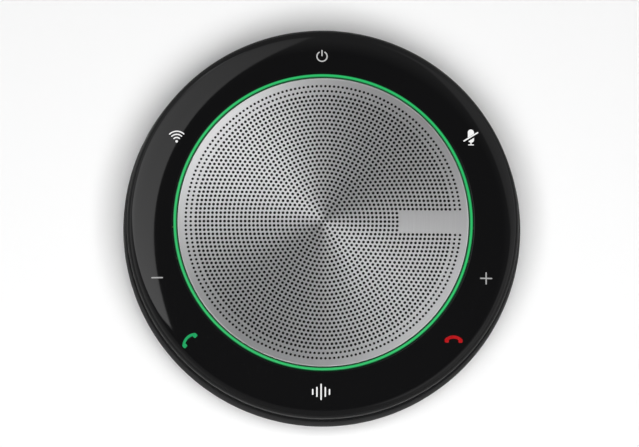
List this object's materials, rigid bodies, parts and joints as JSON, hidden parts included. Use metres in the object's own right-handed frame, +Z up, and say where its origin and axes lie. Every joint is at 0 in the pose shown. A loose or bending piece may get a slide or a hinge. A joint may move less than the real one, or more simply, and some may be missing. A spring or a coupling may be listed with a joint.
{
  "type": "conference speakerphone",
  "caption": "Round, battery-powered tabletop speakerphone with a domed metal grille, a lit ring, touch keys on a gloss ring and a USB-C inlet.",
  "frame": {"origin": "centre of the underside, on the surface the foot rests on", "axes": "+Z up through the grille, -Y towards the user (assistant key), +Y to the USB-C inlet and power key"},
  "size_m": [0.12, 0.12, 0.033],
  "materials": {
    "gloss_black": "high-gloss black moulding",
    "ring_green": "translucent diffuser, lit green",
    "grille_aluminium": "perforated, circular-brushed",
    "grille_cloth": "fine black acoustic cloth",
    "satin_black": "fine satin texture",
    "rubber": "matt",
    "label_grey": "blank film label",
    "inner_black": "as moulded",
    "board_black": "black solder mask",
    "clear_plastic": "clear, frosted face",
    "amber_film": "polyimide film",
    "foam_grey": "closed-cell foam",
    "black_steel": "black coated pressing",
    "plated_steel": "zinc or nickel plated",
    "nickel": "nickel-plated magnet",
    "copper": "enamelled copper wire",
    "cone_paper": "black pulp",
    "spider_cloth": "resin-dipped cloth",
    "board_green": "green solder mask",
    "tin": "tinned shield cans",
    "pouch_silver": "laminated foil pouch",
    "ivory": "nylon connector body",
    "wire_red": "insulated wire",
    "wire_black": "insulated wire",
    "mic_brass": "gold-plated can",
    "screw_steel": "black zinc"
  },
  "bodies": {
    "case": {"fascia": "gloss_black", "light_ring": "ring_green", "grille": "grille_aluminium", "grille_cloth": "grille_cloth", "lower_housing": "satin_black", "rubber_foot": "rubber", "driver_surround": "rubber", "microphone_gasket": "rubber", "rating_label": "label_grey", "upper_frame": "inner_black", "speaker_chamber": "inner_black", "touch_board": "board_black", "light_guide_power": "clear_plastic", "light_guide_wireless": "clear_plastic", "light_guide_mute": "clear_plastic", "light_guide_volume_down": "clear_plastic", "light_guide_volume_up": "clear_plastic", "light_guide_answer": "clear_plastic", "light_guide_end_call": "clear_plastic", "light_guide_assistant": "clear_plastic", "touch_flex": "amber_film", "microphone_flex": "amber_film", "chamber_gasket": "foam_grey", "driver_gasket": "foam_grey", "driver_basket": "black_steel", "motor_yoke": "plated_steel", "motor_top_plate": "plated_steel", "usb_c_receptacle": "plated_steel", "motor_magnet": "nickel", "driver_spider": "spider_cloth", "main_board": "board_green", "processor_shield": "tin", "radio_shield": "tin", "battery_pack": "pouch_silver", "battery_connector": "ivory", "battery_lead_red": "wire_red", "speaker_lead_red": "wire_red", "battery_lead_black": "wire_black", "speaker_lead_black": "wire_black", "microphone_1": "mic_brass", "microphone_2": "mic_brass", "microphone_3": "mic_brass", "microphone_4": "mic_brass", "microphone_5": "mic_brass", "microphone_6": "mic_brass", "case_screw_1": "screw_steel", "case_screw_2": "screw_steel", "case_screw_3": "screw_steel", "case_screw_4": "screw_steel", "driver_screw_1": "screw_steel", "driver_screw_2": "screw_steel", "driver_screw_3": "screw_steel", "driver_screw_4": "screw_steel", "board_screw_1": "screw_steel", "board_screw_2": "screw_steel", "board_screw_3": "screw_steel"},
    "cone": {"driver_cone": "cone_paper", "driver_dust_cap": "cone_paper", "voice_coil_former": "amber_film", "voice_coil_winding": "copper"}
  },
  "joints": [
    {"name": "cone_travel", "type": "slide", "parent": "case", "child": "cone", "axis": [0, 0, 1], "range_m": [-0.0015, 0.0015], "stiffness_N_per_m": 1500, "deforming": ["driver_surround", "driver_spider"]}
  ]
}
